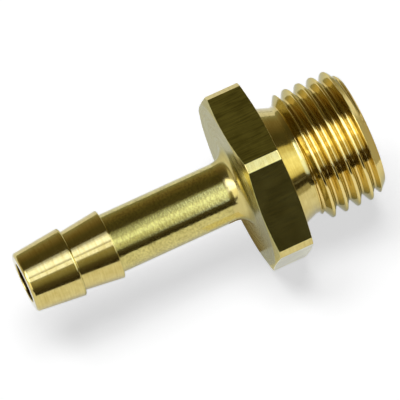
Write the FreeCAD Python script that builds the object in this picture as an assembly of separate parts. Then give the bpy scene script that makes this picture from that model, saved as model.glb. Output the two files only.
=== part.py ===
import FreeCAD, Part
import math
import os

# Hose barb tail: one piece turned from hexagon bar, in millimetres.
# It is drawn upright about Z, with the sealing face of the hexagon at Z = 0 and the thread
# above it, and is then laid down with its axis along +X and a flat of the hexagon underneath.

# Bore, straight through, broken at its mouth in the threaded end
BORE_DIAMETER = 4.0
BORE_MOUTH_CHAMFER = 0.3

# Barbed tail, from the tip to the hexagon: the tip is as wide as the stem, and both barbs
# rise from it to the same height
TAIL_LENGTH = 22.4
STEM_DIAMETER = 6.0
TIP_EDGE_RADIUS = 0.35
BARB_HEIGHT = 0.52
BARB_ROOT_HEIGHT = 0.03
FIRST_BARB_LENGTH = 5.0
SECOND_BARB_LENGTH = 4.0
FIRST_CREST_RADIUS = 0.2
SECOND_CREST_RADIUS = 0.08
STEM_FILLET_RADIUS = 1.5

# Hexagon, with its sharp corners turned down and then chamfered on both sides
HEXAGON_LENGTH = 3.9
ACROSS_FLATS = 17.0
CORNER_TURNED_OFF = 0.265
TAIL_SIDE_CORNER_CUT = 0.28
THREAD_SIDE_CORNER_CUT = 0.2

# Relief between the sealing face and the thread: a tapered neck, a floor a little deeper than
# the thread's root, and a steep wall
NECK_RISE = 0.75
NECK_SEAT_RADIUS = 0.15
RELIEF_BELOW_ROOT = 0.15
RELIEF_NECK_LENGTH = 1.95
RELIEF_FLOOR_LENGTH = 0.42
RELIEF_BLEND_RADIUS = 0.8
RELIEF_WALL_RADIUS = 0.1
RELIEF_WALL_ANGLE = 60.0

# Threaded end: a G 1/4 parallel pipe thread, right-hand, of the 55 degree form. Its groove
# starts where the neck ends, at this angle about the axis from the downward direction
THREADED_END_LENGTH = 9.15
THREAD_BASIC_DIAMETER = 13.157
THREAD_CREST_ALLOWANCE = 0.027
THREAD_PITCH = 1.337
THREAD_ANGLE = 55.0
THREAD_START_ANGLE = 98.5
END_CHAMFER = 1.0

# Ratios of the 55 degree thread form to its pitch
FORM_DEPTH_RATIO = 0.640327
FORM_RADIUS_RATIO = 0.137329

# Cutters reach past the metal by this much where they leave it
CUTTER_CLEARANCE = 0.5

# Radii and stations worked out from the sizes above
bore_radius = BORE_DIAMETER / 2
stem_radius = STEM_DIAMETER / 2
barb_radius = stem_radius + BARB_HEIGHT
barb_root_radius = stem_radius + BARB_ROOT_HEIGHT
flat_distance = ACROSS_FLATS / 2
sharp_corner_radius = flat_distance / math.cos(math.pi / 6)
corner_radius = sharp_corner_radius - CORNER_TURNED_OFF
thread_basic_radius = THREAD_BASIC_DIAMETER / 2
thread_crest_radius = (THREAD_BASIC_DIAMETER - THREAD_CREST_ALLOWANCE) / 2
thread_root_radius = thread_basic_radius - FORM_DEPTH_RATIO * THREAD_PITCH
relief_radius = thread_root_radius - RELIEF_BELOW_ROOT
neck_radius = relief_radius + NECK_RISE

seat_z = 0.0
shoulder_z = seat_z - HEXAGON_LENGTH
tip_z = shoulder_z - TAIL_LENGTH
first_crest_z = tip_z + FIRST_BARB_LENGTH
second_crest_z = first_crest_z + SECOND_BARB_LENGTH
neck_end_z = seat_z + RELIEF_NECK_LENGTH
end_z = seat_z + THREADED_END_LENGTH

UP = FreeCAD.Vector(0, 0, 1)
ORIGIN = FreeCAD.Vector(0, 0, 0)


def point(z, r):
    """A point of the half section, at height z and radius r."""
    return FreeCAD.Vector(r, 0, z)


def rounded_outline(corners):
    """Closed wire through corners (z, r, radius), each rounded by a tangent arc of its radius."""
    edges = []
    starts = []
    ends = []
    count = len(corners)
    for index, (z, r, radius) in enumerate(corners):
        corner = point(z, r)
        before = point(*corners[index - 1][:2])
        after = point(*corners[(index + 1) % count][:2])
        to_before = (before - corner).normalize()
        to_after = (after - corner).normalize()
        half_angle = to_before.getAngle(to_after) / 2
        if radius == 0:
            starts.append(corner)
            ends.append(corner)
            continue
        reach = radius / math.tan(half_angle)
        bisector = (to_before + to_after).normalize()
        centre = corner + bisector * (radius / math.sin(half_angle))
        starts.append(corner + to_before * reach)
        ends.append(corner + to_after * reach)
        edges.append(Part.Arc(starts[-1], centre - bisector * radius, ends[-1]).toShape())
    for index in range(count):
        following = (index + 1) % count
        edges.append(Part.LineSegment(ends[index], starts[following]).toShape())
    return Part.Wire(Part.__sortEdges__(edges))


def turned_blank():
    """The whole turned form, with a round disc where the hexagon will be."""
    wall_rise = thread_crest_radius - relief_radius
    floor_end = neck_end_z + RELIEF_FLOOR_LENGTH
    wall_end = floor_end + wall_rise / math.tan(math.radians(RELIEF_WALL_ANGLE))
    tail = [
        (tip_z, bore_radius, 0),
        (tip_z, stem_radius, TIP_EDGE_RADIUS),
        (first_crest_z, barb_radius, FIRST_CREST_RADIUS),
        (first_crest_z, barb_root_radius, 0),
        (second_crest_z, barb_radius, SECOND_CREST_RADIUS),
        (second_crest_z, stem_radius, 0),
        (shoulder_z, stem_radius, STEM_FILLET_RADIUS),
    ]
    hexagon = [
        (shoulder_z, flat_distance, 0),
        (shoulder_z + TAIL_SIDE_CORNER_CUT, corner_radius, 0),
        (seat_z - THREAD_SIDE_CORNER_CUT, corner_radius, 0),
        (seat_z, flat_distance, 0),
    ]
    threaded_end = [
        (seat_z, neck_radius, NECK_SEAT_RADIUS),
        (neck_end_z, relief_radius, RELIEF_BLEND_RADIUS),
        (floor_end, relief_radius, RELIEF_WALL_RADIUS),
        (wall_end, thread_crest_radius, 0),
        (end_z - END_CHAMFER, thread_crest_radius, 0),
        (end_z, thread_crest_radius - END_CHAMFER, 0),
        (end_z, bore_radius + BORE_MOUTH_CHAMFER, 0),
        (end_z - BORE_MOUTH_CHAMFER, bore_radius, 0),
    ]
    outline = rounded_outline(tail + hexagon + threaded_end)
    return Part.Face(outline).revolve(ORIGIN, UP, 360)


def hexagon_waste():
    """What the mill takes off the disc: a ring outside the six flats, as long as the hexagon."""
    outside = corner_radius + CUTTER_CLEARANCE
    disc = Part.makeCylinder(outside, HEXAGON_LENGTH, FreeCAD.Vector(0, 0, shoulder_z), UP)
    corners = []
    for side in range(7):
        angle = math.pi / 6 + side * math.pi / 3
        x = sharp_corner_radius * math.cos(angle)
        y = sharp_corner_radius * math.sin(angle)
        corners.append(FreeCAD.Vector(x, y, shoulder_z))
    prism = Part.Face(Part.makePolygon(corners)).extrude(UP * HEXAGON_LENGTH)
    return disc.cut(prism)


def groove_section():
    """Section of the thread groove: the rounded root and the crest's shoulders are drawn as facets."""
    arc_radius = FORM_RADIUS_RATIO * THREAD_PITCH
    half_pitch = THREAD_PITCH / 2
    flank = math.radians(THREAD_ANGLE / 2)
    touch_across = arc_radius * math.cos(flank)
    touch_rise = arc_radius * (1 - math.sin(flank))
    flat_across = arc_radius * math.tan((math.pi / 2 - flank) / 4)
    half = [
        (flat_across, thread_root_radius),
        (touch_across, thread_root_radius + touch_rise),
        (half_pitch - touch_across, thread_basic_radius - touch_rise),
        (half_pitch - flat_across, thread_basic_radius),
        (half_pitch - flat_across, thread_basic_radius + CUTTER_CLEARANCE),
    ]
    upper = [point(across, r) for across, r in half]
    lower = [point(-across, r) for across, r in reversed(half)]
    return Part.makePolygon(upper + lower + upper[:1])


def thread_groove():
    """The helical groove, right-hand, from inside the relief to past the end face."""
    height = end_z - neck_end_z + THREAD_PITCH / 2 + CUTTER_CLEARANCE
    cone_angle = 0
    left_hand = False
    helix = Part.makeLongHelix(THREAD_PITCH, height, relief_radius, cone_angle, left_hand)
    groove = Part.Wire(helix.Edges).makePipeShell([groove_section()], True, True)
    groove.translate(UP * neck_end_z)
    groove.rotate(ORIGIN, UP, THREAD_START_ANGLE)
    return groove


def laid_down(shape):
    """The upright shape turned so that its axis runs along +X, with a flat underneath."""
    return shape.rotated(ORIGIN, FreeCAD.Vector(0, 1, 0), 90)


def hose_barb_tail():
    """The finished fitting."""
    body = turned_blank().cut(hexagon_waste())
    body = body.cut(thread_groove())
    return laid_down(body)


fitting = hose_barb_tail()
os.makedirs("parts", exist_ok=True)
fitting.exportStep("parts/hose_barb_tail.step")
centre = fitting.CenterOfGravity
print("solids", len(fitting.Solids), "valid", fitting.isValid(), "volume", round(fitting.Volume, 2))
print("centre of mass", round(centre.x, 3), round(centre.y, 3), round(centre.z, 3))
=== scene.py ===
"""Looks of the hose barb tail: one brass fitting, turned and bored from drawn hexagon bar.

The whole fitting is one closed skin. Its section runs from the bore's mouth at the tip, along the
barbs and the stem, over the hexagon, through the relief and the threaded end, and back through
the bore. The section is carried round the axis in columns, and a Geometry Nodes tree then cuts
the thread into the blank. Sizes are in millimetres until the mesh is made, which is in metres.
"""

import logging
import math
from dataclasses import dataclass, field
from enum import Enum
from typing import Sequence, Union

import bmesh
import bpy
from mathutils import Matrix, Vector

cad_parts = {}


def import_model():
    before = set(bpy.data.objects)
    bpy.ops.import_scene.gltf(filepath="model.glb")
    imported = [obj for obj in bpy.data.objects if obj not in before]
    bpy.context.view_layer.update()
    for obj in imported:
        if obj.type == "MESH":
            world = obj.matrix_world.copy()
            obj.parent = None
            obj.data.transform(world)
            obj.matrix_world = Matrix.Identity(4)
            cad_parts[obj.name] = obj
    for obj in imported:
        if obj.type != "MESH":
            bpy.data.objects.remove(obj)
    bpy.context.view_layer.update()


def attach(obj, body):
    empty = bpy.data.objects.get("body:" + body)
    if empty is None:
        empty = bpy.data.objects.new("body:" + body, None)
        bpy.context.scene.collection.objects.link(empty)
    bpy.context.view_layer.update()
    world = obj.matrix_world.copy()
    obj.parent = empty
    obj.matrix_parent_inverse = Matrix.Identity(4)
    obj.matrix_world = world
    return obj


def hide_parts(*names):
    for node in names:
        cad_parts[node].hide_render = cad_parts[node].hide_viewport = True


logging.basicConfig(level=logging.INFO, format="%(levelname)s %(message)s")
LOG = logging.getLogger("hose_barb_tail")

MM = 0.001
NODE = "hose_barb_tail"
SIDES = 6
SECTOR = 360.0 / SIDES  # one side of the hexagon, in degrees

# How much of a noise's range each pattern uses, from its least effect to its full one
PATCH_RANGE = (0.38, 0.68)
MARKS_RANGE = (0.4, 0.66)
ROUGHNESS_RANGE = (0.3, 0.7)

RUBBED_SHARE = 0.6  # roughness of a rubbed edge beside that of its face
COAT_ROUGHNESS = 0.12
CARD_CLEARANCE = 0.0002  # a card's height above the floor, in metres

# Cycles gives a rectangular lamp a radiance of its power over four times its area
LAMP_POWER = 4.0

Input = Union[None, float, tuple, bpy.types.NodeSocket, bpy.types.Node, bpy.types.Material]


def linear(code: str) -> tuple[float, float, float, float]:
    """Turns an sRGB hex colour into linear values.

    Args:
        code: The colour as six hex digits after a hash sign.

    Returns:
        Red, green, blue and an alpha of 1 for a colour socket.
    """
    parts = [int(code[at:at + 2], 16) / 255 for at in (1, 3, 5)]
    red, green, blue = (
        part / 12.92 if part <= 0.04045 else ((part + 0.055) / 1.055) ** 2.4 for part in parts
    )
    return (red, green, blue, 1.0)


def add_node(
    tree: bpy.types.NodeTree,
    kind: str,
    inputs: Union[Sequence[Input], dict[object, Input]] = (),
    **settings: object,
) -> bpy.types.Node:
    """Adds one node with its settings, and sets or links its inputs.

    Args:
        tree: The tree that the node goes into.
        kind: The node's type.
        inputs: Values, sockets or nodes, in the order of the node's inputs, or by their names or
            places. A node stands for its first output, and None leaves an input as it is.
        **settings: Properties of the node.

    Returns:
        The new node.
    """
    node = tree.nodes.new(kind)
    for name, value in settings.items():
        setattr(node, name, value)
    pairs = inputs.items() if isinstance(inputs, dict) else enumerate(inputs)
    for key, value in pairs:
        if value is None:
            continue
        if isinstance(value, bpy.types.Node):
            value = value.outputs[0]
        if isinstance(value, bpy.types.NodeSocket):
            tree.links.new(value, node.inputs[key])
        else:
            node.inputs[key].default_value = value
    return node


class Marks(Enum):
    """Which way the tool left its marks on the metal."""

    TURNED = "rings round the axis, side by side along it"
    FACED = "rings round the axis, one inside the other"
    DRAWN = "streaks along the bar"


@dataclass(frozen=True)
class BrassFinish:
    """One finish of the brass: its colours, its gloss and the marks of the tool.

    The marks are a noise that is stretched along the tool's path. The real marks are 0.05 to
    0.1 mm apart, which is a pixel or less, so each finish draws them as coarse as they need to
    show. Lengths are in millimetres.

    Attributes:
        name: The material's name.
        marks: Which way the marks run.
        clean: Colour of the clean metal.
        dull: Colour of the metal in its marks and patches, and of its painted tone by depth.
        roughness: Middle roughness.
        roughness_swing: How far the marks move it either way.
        marks_apart: Width of a mark.
        marks_long: Length of a mark.
        marks_deep: Depth of the marks.
        marks_tone: How far the marks take the dull colour.
        grain_size: Size of the grain.
        grain_deep: Depth of the grain.
        patch_size: Size of the duller patches.
        patch_tone: How far the patches take the dull colour.
        grazing: Tint of what the metal mirrors where it is seen edge on.
        coat: Weight of the clear coat, which adds a sharper glint.
    """

    name: str
    marks: Marks
    clean: str
    dull: str
    roughness: float
    roughness_swing: float
    marks_apart: float
    marks_long: float
    marks_deep: float
    marks_tone: float
    grain_size: float
    grain_deep: float
    patch_size: float
    patch_tone: float
    grazing: str = "#FFFFFF"
    coat: float = 1.0

    def material(self) -> bpy.types.Material:
        """Builds the finish as one metallic Principled shader.

        Returns:
            The material.
        """
        material = bpy.data.materials.new(self.name)
        material.use_nodes = True
        tree = material.node_tree
        tree.nodes.clear()
        place = add_node(tree, "ShaderNodeTexCoord").outputs["Object"]
        marks = self._marks(tree, place)
        grain = add_node(
            tree, "ShaderNodeTexNoise",
            {"Vector": place, "Scale": 1 / (self.grain_size * MM), "Detail": 2.0},
        )
        patches = add_node(
            tree, "ShaderNodeTexNoise",
            {"Vector": place, "Scale": 1 / (self.patch_size * MM), "Detail": 3.0},
        )
        wide = add_node(
            tree, "ShaderNodeMapRange",
            {"Value": patches, "From Min": PATCH_RANGE[0], "From Max": PATCH_RANGE[1],
             "To Max": self.patch_tone},
        )
        narrow = add_node(
            tree, "ShaderNodeMapRange",
            {"Value": marks, "From Min": MARKS_RANGE[0], "From Max": MARKS_RANGE[1],
             "To Max": self.marks_tone},
        )
        duller = add_node(
            tree, "ShaderNodeMath", [wide, narrow], operation="ADD", use_clamp=True
        )
        # Painted tone by depth, from the thread cutter: a painted reflection makes the thread's
        # valleys more golden, and a painted shade takes everything below the roots past the
        # thread's start fully to the dull colour
        painted_depth_tone = add_node(tree, "ShaderNodeAttribute", attribute_name="painted_depth_tone").outputs["Fac"]
        tone = add_node(tree, "ShaderNodeMath", [duller, painted_depth_tone], operation="MAXIMUM")
        # A Mix node has its two numbers in places 2 and 3, and its two colours in places 6 and 7
        colour = add_node(
            tree, "ShaderNodeMix",
            {0: tone, 6: linear(self.clean), 7: linear(self.dull)},
            data_type="RGBA",
        ).outputs[2]
        rough = add_node(
            tree, "ShaderNodeMapRange",
            {"Value": marks, "From Min": ROUGHNESS_RANGE[0], "From Max": ROUGHNESS_RANGE[1],
             "To Min": self.roughness - self.roughness_swing,
             "To Max": self.roughness + self.roughness_swing},
        )
        edge = add_node(tree, "ShaderNodeAttribute", attribute_name="edge").outputs["Fac"]
        rubbed = add_node(
            tree, "ShaderNodeMix", {0: edge, 2: rough, 3: self.roughness * RUBBED_SHARE},
            data_type="FLOAT",
        )
        scored = add_node(
            tree, "ShaderNodeBump", {"Distance": self.marks_deep * MM, "Height": marks}
        )
        grained = add_node(
            tree, "ShaderNodeBump",
            {"Distance": self.grain_deep * MM, "Height": grain, "Normal": scored},
        )
        shader = add_node(
            tree, "ShaderNodeBsdfPrincipled",
            {"Base Color": colour, "Metallic": 1.0, "Roughness": rubbed, "Normal": grained,
             "Specular Tint": linear(self.grazing), "Coat Weight": self.coat,
             "Coat Roughness": COAT_ROUGHNESS},
        )
        add_node(tree, "ShaderNodeOutputMaterial", {"Surface": shader})
        return material

    def _marks(self, tree: bpy.types.NodeTree, place: bpy.types.NodeSocket) -> bpy.types.Node:
        """Adds the tool's marks.

        Args:
            tree: The material's tree.
            place: Object coordinates.

        Returns:
            The noise that is stretched along the tool's path.
        """
        across = 1 / (self.marks_apart * MM)
        along = 1 / (self.marks_long * MM)
        by_axis, by_radius, by_ring = {
            Marks.TURNED: (across, 0.0, along),
            Marks.FACED: (0.0, across, along),
            Marks.DRAWN: (along, 0.0, across),
        }[self.marks]
        parts = add_node(tree, "ShaderNodeSeparateXYZ", [place])
        ring = add_node(
            tree, "ShaderNodeCombineXYZ", [0.0, parts.outputs["Y"], parts.outputs["Z"]]
        )
        radius = add_node(tree, "ShaderNodeVectorMath", [ring], operation="LENGTH").outputs["Value"]
        first = add_node(
            tree, "ShaderNodeMath", [parts.outputs["X"], by_axis], operation="MULTIPLY"
        )
        second = add_node(
            tree, "ShaderNodeMath", [radius, by_radius, first], operation="MULTIPLY_ADD"
        )
        around = add_node(
            tree, "ShaderNodeVectorMath", {0: ring, "Scale": by_ring}, operation="SCALE"
        )
        beside = add_node(tree, "ShaderNodeCombineXYZ", [second, 0.0, 0.0])
        vector = add_node(tree, "ShaderNodeVectorMath", [around, beside], operation="ADD")
        return add_node(
            tree, "ShaderNodeTexNoise",
            {"Vector": vector, "Scale": 1.0, "Detail": 3.0, "Roughness": 0.55},
        )


# Turned with a fine feed: bright, with faint rings
BRIGHT_TURNED = BrassFinish(
    name="brass_bright_turned", marks=Marks.TURNED, clean="#CFBE74", dull="#BCA654",
    roughness=0.12, roughness_swing=0.04, marks_apart=0.2, marks_long=3.0, marks_deep=0.0008,
    marks_tone=0.45, grain_size=0.16, grain_deep=0.001, patch_size=0.8, patch_tone=0.5,
    grazing="#DADCD2", coat=0.7,
)
# Turned with a coarser feed and left as it is: a broken grain of short rings
GRAINED_TURNED = BrassFinish(
    name="brass_grained_turned", marks=Marks.TURNED, clean="#CCC070", dull="#A2934A",
    roughness=0.13, roughness_swing=0.06, marks_apart=0.2, marks_long=0.3, marks_deep=0.0055,
    marks_tone=0.65, grain_size=0.15, grain_deep=0.005, patch_size=1.4, patch_tone=0.3,
    grazing="#DADCD2", coat=0.7,
)
# Drawn bar: satin flats with long faint streaks and a few duller patches
DRAWN_BAR = BrassFinish(
    name="brass_drawn_bar", marks=Marks.DRAWN, clean="#CECC82", dull="#98934F",
    roughness=0.16, roughness_swing=0.05, marks_apart=0.15, marks_long=2.4, marks_deep=0.0015,
    marks_tone=0.8, grain_size=0.14, grain_deep=0.001, patch_size=1.6, patch_tone=0.5,
    coat=0.3,
)
# Faced off across the axis: satin rings one inside the other, dull where seen along them
FACED = BrassFinish(
    name="brass_faced", marks=Marks.FACED, clean="#C8BA78", dull="#BCA862",
    roughness=0.26, roughness_swing=0.05, marks_apart=0.2, marks_long=6.0, marks_deep=0.0008,
    marks_tone=0.3, grain_size=0.3, grain_deep=0.0006, patch_size=1.6, patch_tone=0.4,
    grazing="#C8CECC", coat=0.0,
)
# Cut thread: bright, and painted more golden in its valleys, a painted reflection of the metal
# reflecting itself there
CUT_THREAD = BrassFinish(
    name="brass_cut_thread", marks=Marks.TURNED, clean="#DECC86", dull="#E0C67A",
    roughness=0.11, roughness_swing=0.04, marks_apart=0.14, marks_long=0.9, marks_deep=0.003,
    marks_tone=0.6, grain_size=0.16, grain_deep=0.002, patch_size=1.0, patch_tone=0.5,
    grazing="#B8BCAC", coat=0.3,
)
# Drilled bore: coarse rings, with its colours painted darker as the shade inside the bore
DRILLED = BrassFinish(
    name="brass_drilled", marks=Marks.TURNED, clean="#B89C50", dull="#7A6230",
    roughness=0.2, roughness_swing=0.06, marks_apart=0.35, marks_long=5.0, marks_deep=0.002,
    marks_tone=0.8, grain_size=0.3, grain_deep=0.001, patch_size=1.2, patch_tone=1.0,
    coat=0.3,
)


@dataclass(frozen=True)
class Corner:
    """A corner of the section: station, radius, rounding, and the face that leads on from it.

    A large rounding starts with as much of an edge's shine as polish says, and ends with none.
    """

    x: float
    r: float
    rounding: float
    finish: BrassFinish
    divisions: int = 1
    polish: float = 0.0


@dataclass(frozen=True)
class Dot:
    """A point of the finished section, with a mark of 1 where it has a rubbed edge's shine."""

    x: float
    r: float
    edge: float
    finish: BrassFinish


@dataclass
class BarbedTail:
    """The tip, two barbs with square backs, the stem and its fillet."""

    tip: float = -26.3
    length: float = 22.4
    stem_radius: float = 3.0
    tip_rounding: float = 0.35
    barb_radius: float = 3.52
    barb_root: float = 3.03
    first_barb: float = 5.0
    second_barb: float = 4.0
    first_crest_rounding: float = 0.2
    second_crest_rounding: float = 0.1
    root_rounding: float = 0.05
    fillet: float = 1.5

    def corners(self, mouth: Corner) -> list[Corner]:
        """Gives the tail's corners.

        Args:
            mouth: The bore's edge in the tip face.

        Returns:
            The corners from the tip face to the foot of the stem.
        """
        first = self.tip + self.first_barb
        second = first + self.second_barb
        shoulder = self.tip + self.length
        return [
            mouth,
            Corner(self.tip, self.stem_radius, self.tip_rounding, BRIGHT_TURNED),
            Corner(first, self.barb_radius, self.first_crest_rounding, FACED),
            Corner(first, self.barb_root, self.root_rounding, BRIGHT_TURNED),
            Corner(second, self.barb_radius, self.second_crest_rounding, FACED),
            Corner(second, self.stem_radius, self.root_rounding, GRAINED_TURNED),
            Corner(shoulder, self.stem_radius, self.fillet, FACED, polish=1.0),
        ]


@dataclass
class Hexagon:
    """The hexagon of drawn bar, with its corners turned down and chamfered on both sides.

    Attributes:
        tail_face: Station of its face on the tail's side.
        seat_face: Station of its sealing face.
        flat_distance: Distance of its flats from the axis.
        corner_radius: Radius of its turned corners.
        tail_cut: How far the tail-side chamfer runs along a corner.
        seat_cut: How far the other chamfer does.
        rim: How far inside the flats the chamfers start.
        rim_rounding: Rounding where they start.
        edge_rounding: Rounding of their outer edges.
        slope_share: The most of a chamfer's slope that its outer rounding takes.
        blend: How gently a flat turns into its corner.
        edge_columns: The columns at an edge of a flat, in degrees from it.
        flat_reach: How far from its middle a flat's even columns reach, in degrees.
        flat_steps: How many steps they take across it.
    """

    tail_face: float = -3.9
    seat_face: float = 0.0
    flat_distance: float = 8.5
    corner_radius: float = 9.548
    tail_cut: float = 0.28
    seat_cut: float = 0.2
    rim: float = 0.05
    rim_rounding: float = 0.1
    edge_rounding: float = 0.06
    slope_share: float = 0.6
    blend: float = 0.02
    edge_columns: tuple[float, ...] = (-0.45, -0.24, -0.12, 0.0, 0.12, 0.24, 0.45)
    flat_reach: float = 26.2
    flat_steps: int = 22

    @property
    def corner_angle(self) -> float:
        """How far from the middle of a flat its turned corner starts, in degrees."""
        return math.degrees(math.acos(self.flat_distance / self.corner_radius))

    def columns(self) -> list[float]:
        """Gives the angles of the section's columns about the axis.

        Returns:
            Degrees from +Y towards +Z, closer together at the edges of the flats.
        """
        corner = SECTOR / 2
        half = [self.corner_angle + column for column in self.edge_columns]
        half.append((half[-1] + corner) / 2)
        flat = [
            self.flat_reach * (2 * step / self.flat_steps - 1)
            for step in range(self.flat_steps + 1)
        ]
        sector = [-angle for angle in reversed(half)] + flat + half + [corner]
        return [corner + SECTOR * side + angle for side in range(SIDES) for angle in sector]

    def offset(self, angle: float) -> float:
        """Gives how far an angle is from the middle of its flat, in degrees."""
        turn = (angle - SECTOR / 2) % SECTOR
        return abs(turn - SECTOR * round(turn / SECTOR))

    def radius(self, angle: float) -> float:
        """Gives the hexagon's radius at an angle, with its edges slightly rounded.

        Args:
            angle: Degrees from +Y towards +Z.

        Returns:
            The lesser of the flat's distance and the turned corner's radius.
        """
        flat = self.flat_distance / math.cos(math.radians(self.offset(angle)))
        near = max(self.blend - abs(flat - self.corner_radius), 0.0)
        return min(flat, self.corner_radius) - near * near / (4 * self.blend)

    def corners(self, angle: float) -> list[Corner]:
        """Gives the hexagon's corners in one column.

        Args:
            angle: Degrees from +Y towards +Z.

        Returns:
            The corners from the tail-side face to the sealing face.
        """
        inner = self.flat_distance - self.rim
        reach = self.radius(angle)
        share = (reach - inner) / (self.corner_radius - inner)
        turned = self.offset(angle) > self.corner_angle
        face = BRIGHT_TURNED if turned else DRAWN_BAR
        found = []
        for station, cut in ((self.tail_face, self.tail_cut), (self.seat_face, -self.seat_cut)):
            slope = math.hypot(cut * share, reach - inner)
            rounding = min(self.edge_rounding, self.slope_share * slope)
            outer = Corner(station + cut * share, reach, rounding, face)
            found.append((Corner(station, inner, self.rim_rounding, FACED), outer))
        (tail_rim, tail_edge), (seat_rim, seat_edge) = found
        seat_edge = Corner(seat_edge.x, seat_edge.r, seat_edge.rounding, FACED)
        return [tail_rim, tail_edge, seat_edge, seat_rim]


@dataclass
class ThreadedEnd:
    """The relief behind the sealing face, and the blank of the thread with its end chamfer.

    Attributes:
        neck_radius: Radius of the neck at the sealing face.
        neck_rounding: Rounding there.
        relief_start: Station where the neck's taper reaches the relief's floor.
        relief_radius: Radius of that floor.
        relief_rounding: Rounding where the taper meets it.
        wall_start: Station where the wall up to the thread starts.
        wall_rounding: Rounding there.
        wall_angle: Angle of the wall to the axis, in degrees.
        crest_radius: Radius of the thread's crests.
        crest_rounding: Rounding of the blank where its crests start and end.
        end: Station of the end face.
        chamfer: Size of the chamfer at 45 degrees.
        rim_rounding: Rounding between the chamfer and the end face.
        row_spacing: Distance between the rows of points that the thread is cut from.
    """

    neck_radius: float = 6.322
    neck_rounding: float = 0.15
    relief_start: float = 1.95
    relief_radius: float = 5.5724
    relief_rounding: float = 0.8
    wall_start: float = 2.37
    wall_rounding: float = 0.1
    wall_angle: float = 60.0
    crest_radius: float = 6.565
    crest_rounding: float = 0.04
    end: float = 9.15
    chamfer: float = 1.0
    rim_rounding: float = 0.06
    row_spacing: float = 0.03

    def corners(self, seat: float) -> list[Corner]:
        """Gives the threaded end's corners.

        Args:
            seat: The station of the sealing face.

        Returns:
            The corners from the neck to the rim of the end face.
        """
        rise = self.crest_radius - self.relief_radius
        wall_end = self.wall_start + rise / math.tan(math.radians(self.wall_angle))
        taper = self.end - self.chamfer
        rim = self.crest_radius - self.chamfer
        return [
            Corner(seat, self.neck_radius, self.neck_rounding, BRIGHT_TURNED),
            Corner(self.relief_start, self.relief_radius, self.relief_rounding, BRIGHT_TURNED),
            Corner(self.wall_start, self.relief_radius, self.wall_rounding, CUT_THREAD,
                   self._rows(wall_end - self.wall_start)),
            Corner(wall_end, self.crest_radius, self.crest_rounding, CUT_THREAD,
                   self._rows(taper - wall_end)),
            Corner(taper, self.crest_radius, self.crest_rounding, CUT_THREAD,
                   self._rows(self.chamfer)),
            Corner(self.end, rim, self.rim_rounding, FACED),
        ]

    def _rows(self, length: float) -> int:
        """Gives the number of rows that a length of thread needs."""
        return round(length / self.row_spacing)


@dataclass
class Bore:
    """The drilled bore, straight through, broken at its mouth in the threaded end."""

    radius: float = 2.0
    mouth_chamfer: float = 0.3
    tip_rounding: float = 0.08
    mouth_rounding: float = 0.04

    def tip_mouth(self, tip: float) -> Corner:
        """Gives the bore's edge in the tip face."""
        return Corner(tip, self.radius, self.tip_rounding, BRIGHT_TURNED)

    def corners(self, end: float) -> list[Corner]:
        """Gives the corners of the bore's mouth in the threaded end.

        Args:
            end: The station of the end face.

        Returns:
            The corners from the end face to the bore's wall.
        """
        return [
            Corner(end, self.radius + self.mouth_chamfer, self.mouth_rounding, BRIGHT_TURNED),
            Corner(end - self.mouth_chamfer, self.radius, self.mouth_rounding, DRILLED),
        ]


@dataclass
class SectionRounder:
    """Rounds the corners of the section, with support points that keep its flat faces flat.

    Attributes:
        support: How far from a rounding the support points lie, where the face has room.
        small: The largest rounding that is a rubbed edge.
        small_steps: Steps round such an edge.
        large_steps: Steps round a larger one.
    """

    support: float = 0.03
    small: float = 0.26
    small_steps: int = 3
    large_steps: int = 10

    def outline(self, corners: Sequence[Corner]) -> list[Dot]:
        """Rounds every corner of a closed outline.

        Args:
            corners: The outline's corners, in order.

        Returns:
            The outline's points, as many for the same list wherever its corners lie.
        """
        count = len(corners)
        reaches = [
            self._reach(corners[at - 1], corners[at], corners[(at + 1) % count])
            for at in range(count)
        ]
        dots: list[Dot] = []
        for at, corner in enumerate(corners):
            after = corners[(at + 1) % count]
            dots.extend(self._arc(corners[at - 1], corner, after, reaches[at]))
            dots.extend(self._straight(corner, after, reaches[at], reaches[(at + 1) % count]))
        return dots

    def _reach(self, before: Corner, corner: Corner, after: Corner) -> float:
        """Gives how far from a corner its rounding starts.

        Args:
            before: The corner before it.
            corner: The corner itself.
            after: The corner after it.

        Returns:
            The distance, which is nothing at a sharp corner.
        """
        back = Vector((before.x - corner.x, before.r - corner.r))
        ahead = Vector((after.x - corner.x, after.r - corner.r))
        return corner.rounding / math.tan(back.angle(ahead) / 2)

    def _arc(self, before: Corner, corner: Corner, after: Corner, reach: float) -> list[Dot]:
        """Gives the points of one corner's arc.

        Args:
            before: The corner before it.
            corner: The corner itself.
            after: The corner after it.
            reach: How far from the corner the arc starts and ends.

        Returns:
            The arc's points, from its start to its end.
        """
        here = Vector((corner.x, corner.r))
        back = (Vector((before.x, before.r)) - here).normalized()
        ahead = (Vector((after.x, after.r)) - here).normalized()
        half = back.angle(ahead) / 2
        centre = here + (back + ahead).normalized() * (corner.rounding / math.sin(half))
        first = here + back * reach - centre
        last = here + ahead * reach - centre
        turn = math.pi - 2 * half
        small = corner.rounding <= self.small
        steps = self.small_steps if small else self.large_steps
        dots = []
        for step in range(steps + 1):
            share = step / steps
            spoke = first * math.sin((1 - share) * turn) + last * math.sin(share * turn)
            place = centre + spoke / math.sin(turn)
            edge = 1.0 if small else corner.polish * (1 - share)
            dots.append(Dot(place.x, place.y, edge, corner.finish))
        return dots

    def _straight(self, start: Corner, end: Corner, before: float, after: float) -> list[Dot]:
        """Gives the points on the face between two corners.

        Args:
            start: The corner that the face starts from.
            end: The corner that it leads to.
            before: How much of the face the first corner's arc takes.
            after: How much of it the second corner's arc takes.

        Returns:
            A support point at each end, with the face's divisions between them.
        """
        length = math.hypot(end.x - start.x, end.r - start.r)
        support = min(self.support, (length - before - after) / 3)
        low = before + support
        high = length - after - support
        dots = []
        for step in range(start.divisions + 1):
            share = (low + (high - low) * step / start.divisions) / length
            x = start.x + (end.x - start.x) * share
            r = start.r + (end.r - start.r) * share
            dots.append(Dot(x, r, 0.0, start.finish))
        return dots


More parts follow.
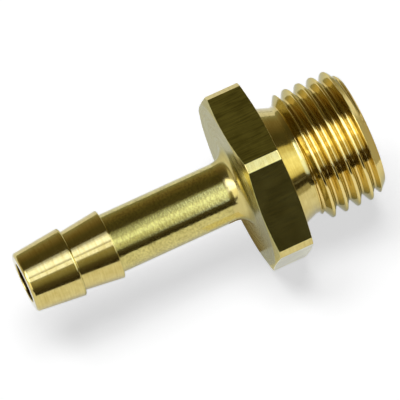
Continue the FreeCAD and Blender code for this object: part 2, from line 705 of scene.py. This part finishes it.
@dataclass
class ThreadCutter:
    """A Geometry Nodes tree that cuts a right-hand thread of the 55 degree form into a blank.

    Every point of the blank beyond thread_from is brought in to the thread's own radius there,
    which follows from its distance to the nearest turn of the groove.

    Attributes:
        pitch: Distance between turns.
        basic_radius: Radius of the form's crests.
        root_radius: Radius of its roots.
        form_radius: Radius of its rounded roots and crests.
        flank_angle: Angle of a flank to the plane across the axis, in degrees.
        groove_at: Station of the groove on the +Y side.
        thread_from: Station where the thread starts.
    """

    pitch: float = 1.337
    basic_radius: float = 6.5785
    root_radius: float = 5.7224
    form_radius: float = 0.1836
    flank_angle: float = 27.5
    groove_at: float = 1.9185
    thread_from: float = 2.2

    def cut(self, blank: bpy.types.Object, finish: bpy.types.Material) -> bpy.types.Mesh:
        """Cuts the thread.

        Args:
            blank: The turned blank, in metres.
            finish: The material of the thread.

        Returns:
            The threaded mesh, without a modifier.
        """
        tree = self._tree(finish)
        modifier = blank.modifiers.new("thread", "NODES")
        modifier.node_group = tree
        flank = math.radians(self.flank_angle)
        across = self.form_radius * math.cos(flank)
        rise = self.form_radius * (1 - math.sin(flank))
        values = {
            "Pitch": self.pitch * MM,
            "Groove At": self.groove_at * MM,
            "Root Radius": self.root_radius * MM,
            "Basic Radius": self.basic_radius * MM,
            "Form Radius": self.form_radius * MM,
            "Arc Width": across * MM,
            "Arc Rise": rise * MM,
            "Flank Slope": 1 / math.tan(flank),
            "Thread From": self.thread_from * MM,
        }
        sockets = {item.name: item.identifier for item in tree.interface.items_tree}
        for name, value in values.items():
            modifier[sockets[name]] = value
        evaluated = blank.evaluated_get(bpy.context.evaluated_depsgraph_get())
        mesh = bpy.data.meshes.new_from_object(evaluated)
        blank.modifiers.remove(modifier)
        return mesh

    def _tree(self, finish: bpy.types.Material) -> bpy.types.NodeTree:
        """Builds the tree.

        Args:
            finish: The material that its last node sets on the thread.

        Returns:
            The tree, with an input for each size of the thread.
        """
        tree = bpy.data.node_groups.new("thread_cutter", "GeometryNodeTree")
        tree.interface.new_socket("Geometry", in_out="INPUT", socket_type="NodeSocketGeometry")
        for name in (
            "Pitch", "Groove At", "Root Radius", "Basic Radius", "Form Radius", "Arc Width",
            "Arc Rise", "Flank Slope", "Thread From",
        ):
            tree.interface.new_socket(name, in_out="INPUT", socket_type="NodeSocketFloat")
        tree.interface.new_socket("Geometry", in_out="OUTPUT", socket_type="NodeSocketGeometry")
        given = add_node(tree, "NodeGroupInput").outputs
        place = add_node(tree, "GeometryNodeInputPosition")
        parts = add_node(tree, "ShaderNodeSeparateXYZ", [place]).outputs
        ring = add_node(tree, "ShaderNodeCombineXYZ", [0.0, parts["Y"], parts["Z"]])
        radius = add_node(tree, "ShaderNodeVectorMath", [ring], operation="LENGTH").outputs["Value"]

        # The distance along the axis to the nearest turn of the groove
        angle = add_node(tree, "ShaderNodeMath", [parts["Z"], parts["Y"]], operation="ARCTAN2")
        turn = add_node(tree, "ShaderNodeMath", [angle, math.tau], operation="DIVIDE")
        ahead = add_node(
            tree, "ShaderNodeMath", [parts["X"], given["Groove At"]], operation="SUBTRACT"
        )
        pitches = add_node(tree, "ShaderNodeMath", [ahead, given["Pitch"]], operation="DIVIDE")
        phase = add_node(tree, "ShaderNodeMath", [pitches, turn], operation="SUBTRACT")
        near = add_node(tree, "ShaderNodeMath", [phase, 0.5], operation="PINGPONG")
        across = add_node(tree, "ShaderNodeMath", [near, given["Pitch"]], operation="MULTIPLY")
        half = add_node(tree, "ShaderNodeMath", [given["Pitch"], 0.5], operation="MULTIPLY")
        beyond = add_node(tree, "ShaderNodeMath", [half, across], operation="SUBTRACT")

        # The form's radius there: a rounded root, a straight flank and a rounded crest
        square = add_node(
            tree, "ShaderNodeMath", [given["Form Radius"], given["Form Radius"]],
            operation="MULTIPLY",
        )
        arcs = []
        for distance in (across, beyond):
            squared = add_node(
                tree, "ShaderNodeMath", [distance, distance], operation="MULTIPLY"
            )
            rest = add_node(tree, "ShaderNodeMath", [square, squared], operation="SUBTRACT")
            height = add_node(tree, "ShaderNodeMath", [rest], operation="SQRT")
            arcs.append(add_node(
                tree, "ShaderNodeMath", [given["Form Radius"], height], operation="SUBTRACT"
            ))
        root = add_node(tree, "ShaderNodeMath", [given["Root Radius"], arcs[0]], operation="ADD")
        crest = add_node(
            tree, "ShaderNodeMath", [given["Basic Radius"], arcs[1]], operation="SUBTRACT"
        )
        up_flank = add_node(
            tree, "ShaderNodeMath", [across, given["Arc Width"]], operation="SUBTRACT"
        )
        climbed = add_node(
            tree, "ShaderNodeMath", [up_flank, given["Flank Slope"], given["Arc Rise"]],
            operation="MULTIPLY_ADD",
        )
        flank = add_node(tree, "ShaderNodeMath", [given["Root Radius"], climbed], operation="ADD")
        at_root = add_node(
            tree, "ShaderNodeMath", [across, given["Arc Width"]], operation="LESS_THAN"
        )
        at_crest = add_node(
            tree, "ShaderNodeMath", [beyond, given["Arc Width"]], operation="LESS_THAN"
        )
        lower = add_node(tree, "GeometryNodeSwitch", [at_root, flank, root], input_type="FLOAT")
        form = add_node(tree, "GeometryNodeSwitch", [at_crest, lower, crest], input_type="FLOAT")

        # The blank's points come in to that radius where it is less than their own
        share = add_node(tree, "ShaderNodeMath", [form, radius], operation="DIVIDE")
        inward = add_node(tree, "ShaderNodeMath", [share, 1.0], operation="MINIMUM")
        cut_ring = add_node(
            tree, "ShaderNodeVectorMath", {0: ring, "Scale": inward}, operation="SCALE"
        )
        along = add_node(tree, "ShaderNodeCombineXYZ", [parts["X"], 0.0, 0.0])
        moved = add_node(tree, "ShaderNodeVectorMath", [cut_ring, along], operation="ADD")
        threaded = add_node(
            tree, "ShaderNodeMath", [parts["X"], given["Thread From"]], operation="GREATER_THAN"
        )
        # How deep each point lies below the crests, as a share of the thread's depth. It is stored
        # for the materials, which paint by it: a painted reflection in the thread's valleys, and
        # painted shade on everything past the thread's start that lies below the roots, which is
        # the relief's floor, the end face and that end of the bore
        depth = add_node(
            tree, "ShaderNodeMath", [given["Basic Radius"], radius], operation="SUBTRACT"
        )
        whole = add_node(
            tree, "ShaderNodeMath", [given["Basic Radius"], given["Root Radius"]],
            operation="SUBTRACT",
        )
        painted_depth_tone = add_node(tree, "ShaderNodeMath", [depth, whole], operation="DIVIDE")
        outside = add_node(
            tree, "ShaderNodeMath", [radius, given["Root Radius"]], operation="GREATER_THAN"
        )
        here = add_node(tree, "ShaderNodeMath", [threaded, outside], operation="MULTIPLY")
        shifted = add_node(
            tree, "GeometryNodeSetPosition",
            {"Geometry": given["Geometry"], "Selection": here, "Position": moved},
        )
        stored = add_node(
            tree, "GeometryNodeStoreNamedAttribute",
            {"Geometry": shifted, "Selection": threaded, "Name": "painted_depth_tone", "Value": painted_depth_tone},
            data_type="FLOAT", domain="POINT",
        )
        realized = add_node(tree, "GeometryNodeRealizeInstances", {"Geometry": stored})
        dressed = add_node(
            tree, "GeometryNodeSetMaterial",
            {"Geometry": realized, "Selection": here, "Material": finish},
        )
        add_node(tree, "NodeGroupOutput", [dressed])
        return tree


@dataclass
class Fitting:
    """The whole fitting as one closed skin."""

    tail: BarbedTail = field(default_factory=BarbedTail)
    hexagon: Hexagon = field(default_factory=Hexagon)
    threaded_end: ThreadedEnd = field(default_factory=ThreadedEnd)
    bore: Bore = field(default_factory=Bore)
    cutter: ThreadCutter = field(default_factory=ThreadCutter)
    rounder: SectionRounder = field(default_factory=SectionRounder)

    def build(self) -> bpy.types.Object:
        """Makes the skin, cuts its thread and dresses it.

        Returns:
            The piece, which stands for the solid of the frame.
        """
        finishes = [BRIGHT_TURNED, GRAINED_TURNED, DRAWN_BAR, FACED, CUT_THREAD, DRILLED]
        materials = {finish.name: finish.material() for finish in finishes}
        blank = self._blank(finishes, materials)
        mesh = self.cutter.cut(blank, materials[CUT_THREAD.name])
        bpy.data.objects.remove(blank)
        mesh.name = "turned_brass_skin"
        piece = bpy.data.objects.new("hose_barb_tail_skin", mesh)
        bpy.context.scene.collection.objects.link(piece)
        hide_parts(NODE)
        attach(piece, "root")
        piece.visible_diffuse = False
        return piece

    def _column(self, angle: float) -> list[Dot]:
        """Gives the section in one column.

        Args:
            angle: Degrees from +Y towards +Z.

        Returns:
            The section's points, from the tip face round to the bore's wall.
        """
        corners = self.tail.corners(self.bore.tip_mouth(self.tail.tip))
        corners += self.hexagon.corners(angle)
        corners += self.threaded_end.corners(self.hexagon.seat_face)
        corners += self.bore.corners(self.threaded_end.end)
        return self.rounder.outline(corners)

    def _blank(
        self, finishes: list[BrassFinish], materials: dict[str, bpy.types.Material]
    ) -> bpy.types.Object:
        """Carries the section round the axis.

        Args:
            finishes: The finishes, in the order of the mesh's material slots.
            materials: The material of each finish.

        Returns:
            The turned blank with its hexagon and bore, before the thread is cut.
        """
        angles = self.hexagon.columns()
        columns = [self._column(angle) for angle in angles]
        rows = len(columns[0])
        points, edges = [], []
        for angle, dots in zip(angles, columns):
            turn = math.radians(angle)
            for dot in dots:
                points.append((
                    dot.x * MM, dot.r * math.cos(turn) * MM, dot.r * math.sin(turn) * MM
                ))
                edges.append(dot.edge)
        faces, slots = [], []
        for at in range(len(columns)):
            following = (at + 1) % len(columns)
            for row in range(rows):
                above = (row + 1) % rows
                faces.append((
                    at * rows + row, following * rows + row,
                    following * rows + above, at * rows + above,
                ))
                slots.append(finishes.index(columns[at][row].finish))
        mesh = bpy.data.meshes.new("turned_blank")
        mesh.from_pydata(points, [], faces)
        for finish in finishes:
            mesh.materials.append(materials[finish.name])
        mesh.polygons.foreach_set("material_index", slots)
        mesh.polygons.foreach_set("use_smooth", [True] * len(faces))
        for name, values in (("edge", edges), ("painted_depth_tone", [0.0] * len(points))):
            mesh.attributes.new(name, "FLOAT", "POINT").data.foreach_set("value", values)
        shell = bmesh.new()
        shell.from_mesh(mesh)
        if shell.calc_volume(signed=True) < 0:
            bmesh.ops.reverse_faces(shell, faces=shell.faces[:])
            shell.to_mesh(mesh)
        shell.free()
        mesh.update()
        blank = bpy.data.objects.new("turned_blank", mesh)
        bpy.context.scene.collection.objects.link(blank)
        bpy.context.view_layer.update()
        return blank


@dataclass(frozen=True)
class StudioLamp:
    """A flat lamp whose long side runs along the fitting.

    Attributes:
        name: Its name.
        edges: Where its two long edges stand as the fitting sees them, in degrees: 0 is the
            horizon on the camera's side and 90 is straight up.
        along: Where its two short edges stand along the fitting, in metres.
        reach: How far it is from the fitting's axis, in metres.
        radiance: How bright it looks in the metal.
        colour: Its colour.
    """

    name: str
    edges: tuple[float, float]
    along: tuple[float, float]
    reach: float
    radiance: float
    colour: str

    def build(self) -> bpy.types.Object:
        """Makes the lamp.

        Returns:
            The lamp's object.
        """
        low, high = (math.radians(edge) for edge in self.edges)
        middle, half = (low + high) / 2, (high - low) / 2
        data = bpy.data.lights.new(self.name, "AREA")
        data.shape = "RECTANGLE"
        data.size = self.along[1] - self.along[0]
        data.size_y = 2 * self.reach * math.tan(half)
        data.color = linear(self.colour)[:3]
        data.energy = self.radiance * LAMP_POWER * data.size * data.size_y
        lamp = bpy.data.objects.new(self.name, data)
        place = Vector((
            sum(self.along) / 2, -self.reach * math.cos(middle), self.reach * math.sin(middle)
        ))
        turn = Matrix.Rotation(math.pi / 2 - middle, 4, "X")
        lamp.matrix_world = Matrix.Translation(place) @ turn
        lamp.visible_camera = False
        lamp.visible_diffuse = False
        bpy.context.scene.collection.objects.link(lamp)
        return lamp


@dataclass(frozen=True)
class ShadowLight:
    """A broad far light, which lights the floor and casts a soft shadow only.

    Attributes:
        name: Its name.
        shift: How far it throws the shadow of a point one unit above the floor.
        spread: How broad it looks, in degrees.
        strength: Its strength.
    """

    name: str
    shift: tuple[float, float]
    spread: float
    strength: float

    def build(self) -> bpy.types.Object:
        """Makes the light.

        Returns:
            The light's object.
        """
        data = bpy.data.lights.new(self.name, "SUN")
        data.angle = math.radians(self.spread)
        data.energy = self.strength
        light = bpy.data.objects.new(self.name, data)
        ray = Vector((*self.shift, -1.0))
        light.matrix_world = ray.to_track_quat("-Z", "Y").to_matrix().to_4x4()
        light.visible_glossy = False
        bpy.context.scene.collection.objects.link(light)
        return light


@dataclass(frozen=True)
class FloorCard:
    """A cloth or a card on the floor beside the fitting, shining with its own colour and seen in
    the metal only, in metres.

    Attributes:
        name: Its name.
        near: Where its near edge lies, across the fitting's axis before it is turned.
        far: Where its far edge lies.
        rim: How far its far edge stands up.
        colour: Its colour.
        turned: How far it is turned about the upright through the origin, in degrees.
        near_ends: Where the near edge starts and ends.
        far_ends: Where the far edge starts and ends.
    """

    name: str
    near: float
    far: float
    rim: float
    colour: str
    turned: float = 0.0
    near_ends: tuple[float, float] = (-1.5, 1.5)
    far_ends: tuple[float, float] = (-1.5, 1.5)

    def build(self, floor: float) -> bpy.types.Object:
        """Lays the card on the floor with its far edge turned up.

        Args:
            floor: The floor's height.

        Returns:
            The card's object.
        """
        low = floor + CARD_CLEARANCE
        near_left, near_right = self.near_ends
        far_left, far_right = self.far_ends
        points = [
            (near_left, self.near, low), (near_right, self.near, low),
            (far_right, self.far, low), (far_left, self.far, low),
            (far_right, self.far, low + self.rim), (far_left, self.far, low + self.rim),
        ]
        mesh = bpy.data.meshes.new(self.name)
        mesh.from_pydata(points, [], [(0, 3, 2, 1), (3, 5, 4, 2)])
        mesh.transform(Matrix.Rotation(math.radians(self.turned), 4, "Z"))
        material = bpy.data.materials.new(self.name + "_emission")
        material.use_nodes = True
        tree = material.node_tree
        tree.nodes.clear()
        # The card glows with its own colour and no lamp lights it; contact_shade is painted shade
        # and the foot's patch is painted light
        card_emission = add_node(tree, "ShaderNodeEmission", [linear(self.colour), 1.0])
        add_node(tree, "ShaderNodeOutputMaterial", {"Surface": card_emission})
        mesh.materials.append(material)
        card = bpy.data.objects.new(self.name, mesh)
        card.visible_camera = False
        card.visible_diffuse = False
        card.visible_shadow = False
        bpy.context.scene.collection.objects.link(card)
        return card


@dataclass
class Studio:
    """The pale floor, the cards beside the fitting, the lamps and the dim room, in metres.

    Attributes:
        floor_height: The floor's height in millimetres, a hair under the fitting's lowest flat.
        floor_radius: The floor's radius.
        floor_sides: Sides of the round floor.
        sweep_start: Radius where the floor starts to turn up.
        sweep_height: How far it turns up.
        flat_rings: Rings of faces in its level part.
        sweep_rings: Rings of faces in the part that turns up.
        floor_colour: The floor's colour.
        floor_lift: How much brighter the eye and the metal see it.
        fill: Tone of the room as the floor is lit by it.
        cards: The cloths and cards on the floor.
        lamps: The lamps that are seen in the metal.
        shadow_lights: The lights of the floor.
        room_range: The angles that the room's tones run between, in degrees.
        room: The room's tones as the metal mirrors them, each with its angle above the horizon
            on the camera's side.
    """

    floor_height: float = -8.51
    floor_radius: float = 3.0
    floor_sides: int = 96
    sweep_start: float = 2.6
    sweep_height: float = 0.16
    flat_rings: int = 4
    sweep_rings: int = 8
    floor_colour: str = "#E9E9E9"
    floor_lift: float = 0.45
    fill: str = "#828282"
    cards: tuple[FloorCard, ...] = (
        FloorCard("front_cloth", -0.06, -0.6, 0.05, "#39321F",
                  near_ends=(-0.045, 0.5), far_ends=(-0.25, 1.5)),
        # Painted shade: a golden-brown glowing card under the hexagon's tail side, which the metal
        # mirrors in place of the shaded floor there, partly a painted reflection of the brass above
        # it
        FloorCard("contact_shade", 0.003, -0.0022, 0.0, "#9C875A",
                  near_ends=(-0.0052, -0.0037), far_ends=(-0.0052, -0.0037)),
        FloorCard("end_cloth", -0.022, -0.5, 0.02, "#BDB8A4", turned=90.0,
                  near_ends=(-0.06, 0.06), far_ends=(-0.1, 0.1)),
        # Painted light: a pale glowing card in front of the hexagon's tail side, which the foot of
        # that face mirrors in place of the floor's shadow there
        FloorCard("foot_light_patch", -0.0042, -0.012, 0.0, "#FFF6D0",
                  near_ends=(-0.0075, -0.0037), far_ends=(-0.0075, -0.0037)),
    )
    lamps: tuple[StudioLamp, ...] = (
        # Beyond the tip: seen in the barbs, in the fillet and in the face beside it
        StudioLamp("soft_box_wide", (62.0, 95.0), (-1.0, -0.031), 0.25, 0.72, "#CCD6FF"),
        StudioLamp("soft_box", (64.0, 88.0), (-1.0, -0.031), 0.255, 0.86, "#CCD6FF"),
        StudioLamp("soft_box_core", (67.0, 82.0), (-1.0, -0.031), 0.26, 0.72, "#CCD6FF"),
        StudioLamp("edge_strip", (47.0, 60.0), (-1.0, -0.031), 0.25, 1.55, "#CCD6FF"),
        StudioLamp("left_panel", (16.0, 47.0), (-1.0, -0.13), 0.25, 1.1, "#F4F2EA"),
        StudioLamp("left_panel_low", (1.0, 16.0), (-1.0, -0.30), 0.25, 0.8, "#F4F2EA"),
        StudioLamp("left_panel_high", (98.0, 150.0), (-1.0, -0.32), 0.25, 0.5, "#F0EEDC"),
        StudioLamp("left_key", (52.0, 94.0), (-0.9, -0.08), 0.24, 1.5, "#FFFBEE"),
        # Beside the fitting: seen in the stem, the hexagon and the thread
        StudioLamp("side_panel", (21.0, 90.0), (-0.030, 0.42), 0.25, 0.2, "#F6FFEC"),
        StudioLamp("side_panel_inner", (26.0, 80.0), (-0.030, 0.42), 0.255, 0.13, "#EEFAF0"),
        StudioLamp("side_panel_core", (34.0, 74.0), (-0.030, 0.42), 0.26, 0.19, "#D8EAFF"),
        StudioLamp("side_strip", (43.0, 60.0), (-0.030, 0.026), 0.265, 0.42, "#D2E6FF"),
        # Towards the threaded end and beyond it: seen in the strips between the flats, in the
        # thread's crests, the relief and the neck, and in the rounded crests of the barbs
        StudioLamp("end_panel", (17.0, 84.0), (0.026, 0.2), 0.25, 1.02, "#BCCEFF"),
        StudioLamp("relief_strip", (50.0, 86.0), (0.046, 0.13), 0.245, 2.6, "#E4ECFF"),
        StudioLamp("far_panel", (17.0, 93.0), (0.2, 0.6), 0.25, 0.5, "#FFF0A8"),
        StudioLamp("crest_panel", (30.0, 95.0), (0.44, 1.4), 0.25, 1.8, "#FFFFFF"),
    )
    shadow_lights: tuple[ShadowLight, ...] = (
        ShadowLight("top_light", (-0.1, 0.04), 26.0, 0.85),
        ShadowLight("tip_light", (0.3, -0.25), 26.0, 0.72),
    )
    room_range: tuple[float, float] = (-10.0, 190.0)
    room: tuple[tuple[float, str], ...] = (
        (0.0, "#4C442E"), (8.0, "#4C442E"), (14.0, "#544C34"), (19.0, "#655F3E"),
        (25.0, "#837D5B"), (31.0, "#958E69"), (38.0, "#A49D73"), (45.0, "#ADAA8B"),
        (60.0, "#ADAA8B"), (66.0, "#6C6858"), (97.0, "#524B2F"), (110.0, "#524B2F"),
        (122.0, "#575132"), (139.0, "#726541"), (158.0, "#8F825D"), (172.0, "#9F9D80"),
    )

    def build(self) -> None:
        """Makes the floor, the cards, the lamps and the room."""
        self._floor()
        for card in self.cards:
            card.build(self.floor_height * MM)
        for lamp in self.lamps:
            lamp.build()
        for light in self.shadow_lights:
            light.build()
        self._room()

    def _floor(self) -> None:
        """Makes a round floor that turns up a little at its far edge."""
        low = self.floor_height * MM
        rings = [
            (self.sweep_start * step / self.flat_rings, 0.0)
            for step in range(1, self.flat_rings + 1)
        ]
        for step in range(1, self.sweep_rings + 1):
            share = step / self.sweep_rings
            rings.append((
                self.sweep_start + (self.floor_radius - self.sweep_start) * share,
                self.sweep_height * share * share,
            ))
        sides = self.floor_sides
        points = [(0.0, 0.0, low)]
        for radius, rise in rings:
            for side in range(sides):
                turn = math.tau * side / sides
                points.append((radius * math.cos(turn), radius * math.sin(turn), low + rise))
        faces = [(0, 1 + side, 1 + (side + 1) % sides) for side in range(sides)]
        for ring in range(len(rings) - 1):
            for side in range(sides):
                beside = (side + 1) % sides
                inner, outer = 1 + ring * sides, 1 + (ring + 1) * sides
                faces.append((inner + side, outer + side, outer + beside, inner + beside))
        mesh = bpy.data.meshes.new("pale_floor")
        mesh.from_pydata(points, [], faces)
        mesh.polygons.foreach_set("use_smooth", [True] * len(faces))
        mesh.materials.append(self._floor_material())
        floor = bpy.data.objects.new("pale_floor", mesh)
        bpy.context.scene.collection.objects.link(floor)

    def _floor_material(self) -> bpy.types.Material:
        """Builds the floor's pale card, which the eye and the metal see a little brighter.

        Returns:
            The material.
        """
        material = bpy.data.materials.new("pale_card")
        material.use_nodes = True
        tree = material.node_tree
        tree.nodes.clear()
        card = add_node(tree, "ShaderNodeBsdfDiffuse", [linear(self.floor_colour)])
        rays = add_node(tree, "ShaderNodeLightPath").outputs
        seen = add_node(
            tree, "ShaderNodeMath", [rays["Is Camera Ray"], rays["Is Glossy Ray"]],
            operation="MAXIMUM",
        )
        seen = add_node(
            tree, "ShaderNodeMath", [seen, rays["Is Transmission Ray"]], operation="MAXIMUM"
        )
        lift = add_node(tree, "ShaderNodeMath", [seen, self.floor_lift], operation="MULTIPLY")
        glow = add_node(
            tree, "ShaderNodeEmission", {"Color": (1.0, 1.0, 1.0, 1.0), "Strength": lift}
        )
        both = add_node(tree, "ShaderNodeAddShader", [card, glow])
        add_node(tree, "ShaderNodeOutputMaterial", {"Surface": both})
        return material

    def _room(self) -> None:
        """Builds the dim room: its tone goes by the angle above the camera's side."""
        low, high = self.room_range
        world = bpy.data.worlds.new("dim_room")
        bpy.context.scene.world = world
        world.use_nodes = True
        tree = world.node_tree
        tree.nodes.clear()
        way = add_node(tree, "ShaderNodeTexCoord").outputs["Generated"]
        parts = add_node(tree, "ShaderNodeSeparateXYZ", [way]).outputs
        front = add_node(tree, "ShaderNodeMath", [parts["Y"], -1.0], operation="MULTIPLY")
        angle = add_node(tree, "ShaderNodeMath", [parts["Z"], front], operation="ARCTAN2")
        share = add_node(
            tree, "ShaderNodeMapRange",
            {"Value": angle, "From Min": math.radians(low), "From Max": math.radians(high)},
        )
        ramp = add_node(tree, "ShaderNodeValToRGB", [share])
        stops = ramp.color_ramp.elements
        for at, (degrees, code) in enumerate(self.room):
            place = (degrees - low) / (high - low)
            stop = stops[at] if at < len(stops) else stops.new(place)
            stop.position = place
            stop.color = linear(code)
        mirrored = add_node(tree, "ShaderNodeBackground", [ramp])
        fill = add_node(tree, "ShaderNodeBackground", [linear(self.fill)])
        diffuse = add_node(tree, "ShaderNodeLightPath").outputs["Is Diffuse Ray"]
        both = add_node(tree, "ShaderNodeMixShader", [diffuse, mirrored, fill])
        add_node(tree, "ShaderNodeOutputWorld", [both])


@dataclass
class ProductCamera:
    """The camera at the photograph's place: a long lens, high over the tip's side.

    Attributes:
        place: Its place, in millimetres.
        right: The direction of the picture's right-hand side.
        up: The direction of the picture's top.
        back: The direction from the picture to the eye.
        focal_pixels: Its focal length, in pixels of the picture.
        image_pixels: The picture's width in pixels.
        sensor: The sensor's width, in millimetres.
        clip: The nearest and the farthest that it sees, in metres.
    """

    place: tuple[float, float, float] = (-73.142, -321.882, 436.764)
    right: tuple[float, float, float] = (0.9030919, -0.3989592, -0.1589232)
    up: tuple[float, float, float] = (0.4124078, 0.7024805, 0.5800354)
    back: tuple[float, float, float] = (-0.1197700, -0.5893664, 0.7989383)
    focal_pixels: float = 5726.0
    image_pixels: float = 400.0
    sensor: float = 36.0
    clip: tuple[float, float] = (0.01, 20.0)

    def build(self) -> bpy.types.Object:
        """Makes the camera and hands it to the scene.

        Returns:
            The camera's object.
        """
        data = bpy.data.cameras.new("product_camera")
        data.sensor_width = self.sensor
        data.lens = self.sensor * self.focal_pixels / self.image_pixels
        data.clip_start, data.clip_end = self.clip
        camera = bpy.data.objects.new("product_camera", data)
        bpy.context.scene.collection.objects.link(camera)
        turn = Matrix((self.right, self.up, self.back)).transposed().to_4x4()
        camera.matrix_world = Matrix.Translation(Vector(self.place) * MM) @ turn
        bpy.context.scene.camera = camera
        return camera


def main() -> None:
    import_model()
    bpy.context.scene.view_settings.view_transform = "Standard"
    ProductCamera().build()
    LOG.info("camera placed")
    piece = Fitting().build()
    LOG.info("%s: %d faces", piece.name, len(piece.data.polygons))
    Studio().build()
    LOG.info("floor, lamps and room placed")
    bpy.context.view_layer.update()


if __name__ == "__main__":
    main()
